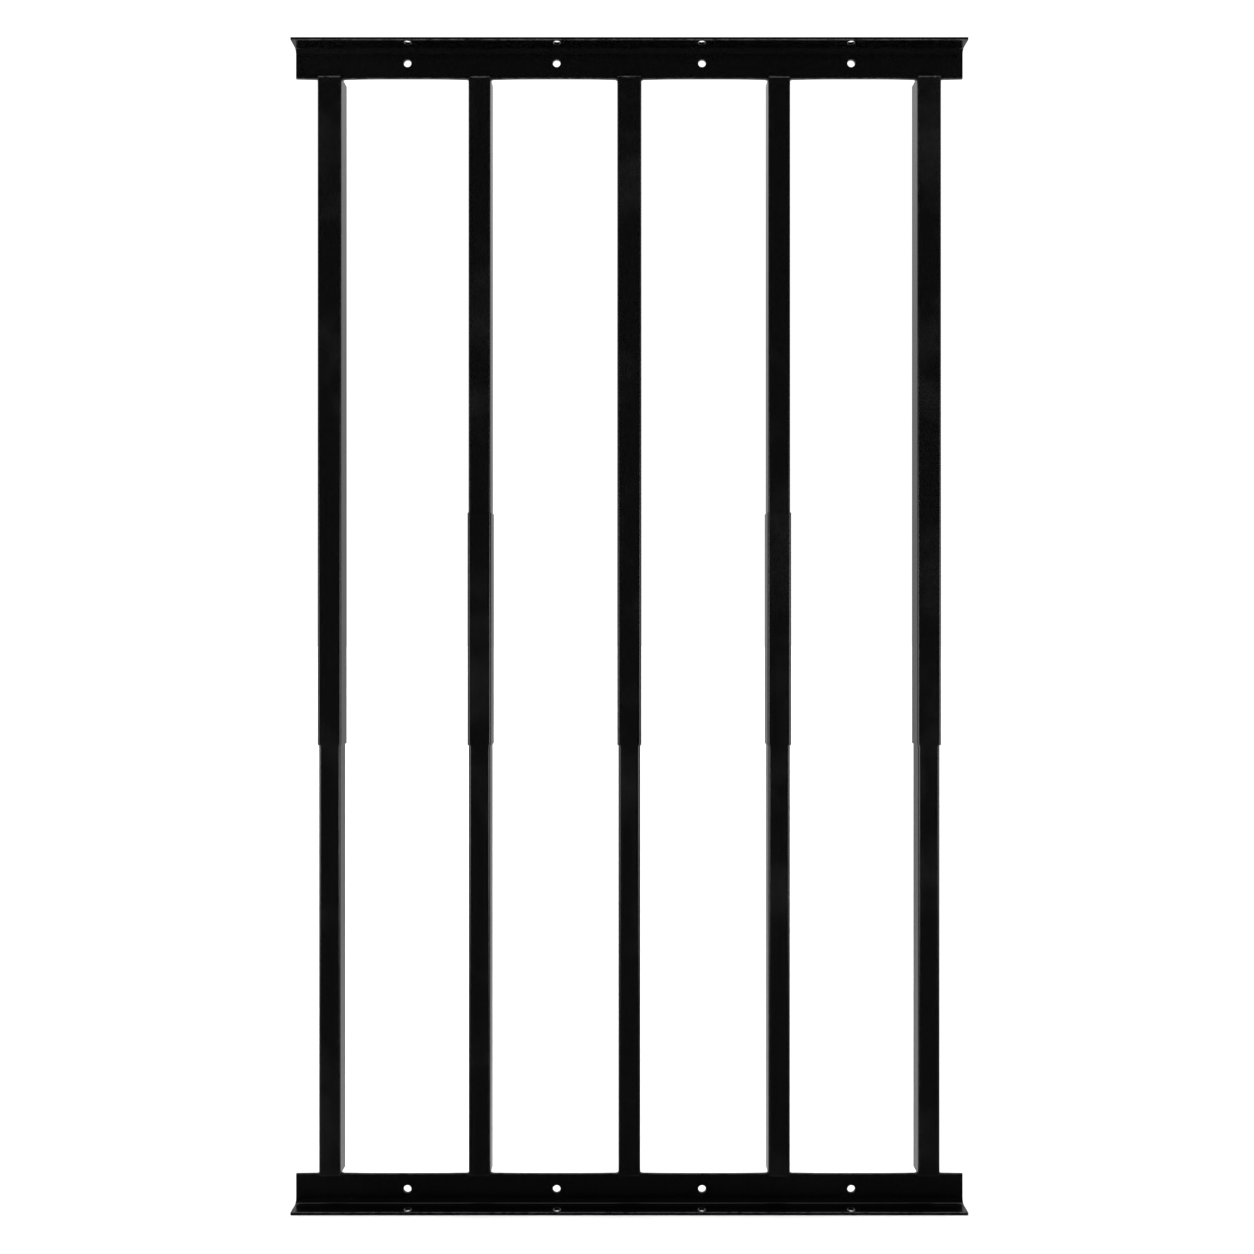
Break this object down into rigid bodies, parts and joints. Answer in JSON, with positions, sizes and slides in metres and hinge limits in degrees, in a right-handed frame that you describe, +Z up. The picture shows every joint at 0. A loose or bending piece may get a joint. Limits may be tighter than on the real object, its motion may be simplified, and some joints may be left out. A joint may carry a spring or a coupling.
{
  "type": "window security bar grille",
  "caption": "Telescoping black steel window guard: vertical square-tube bars between drilled angle rails, sliding to suit the height of a window opening.",
  "frame": {"origin": "middle of the bottom rail's underside", "axes": "+X along the rails, -Y towards the room, where the level legs point, +Z up along the bars"},
  "size_m": [0.61, 0.0357, 1.06],
  "materials": {
    "rail_coat": "satin black powder coat on steel angle",
    "outer_tube_coat": "satin black powder coat on the outer tubes and sleeves",
    "inner_tube_coat": "satin black powder coat on the sliding tubes, with faint lengthwise rub marks",
    "weld_coat": "satin black powder coat over weld beads"
  },
  "bodies": {
    "lower_frame": {"bottom_rail": "rail_coat", "inner_tube_1": "inner_tube_coat", "inner_tube_2": "inner_tube_coat", "inner_tube_3": "inner_tube_coat", "inner_tube_4": "inner_tube_coat", "inner_tube_5": "inner_tube_coat", "bottom_weld_1": "weld_coat", "bottom_weld_2": "weld_coat", "bottom_weld_3": "weld_coat", "bottom_weld_4": "weld_coat", "bottom_weld_5": "weld_coat"},
    "upper_frame": {"top_rail": "rail_coat", "outer_tube_1": "outer_tube_coat", "outer_tube_3": "outer_tube_coat", "outer_tube_5": "outer_tube_coat", "upper_tube_2": "outer_tube_coat", "upper_tube_4": "outer_tube_coat", "sleeve_2": "outer_tube_coat", "sleeve_4": "outer_tube_coat", "top_weld_1": "weld_coat", "top_weld_2": "weld_coat", "top_weld_3": "weld_coat", "top_weld_4": "weld_coat", "top_weld_5": "weld_coat"}
  },
  "joints": [
    {"name": "height_slide", "type": "slide", "parent": "lower_frame", "child": "upper_frame", "axis": [0, 0, 1], "range_m": [-0.09, 0.04]}
  ]
}
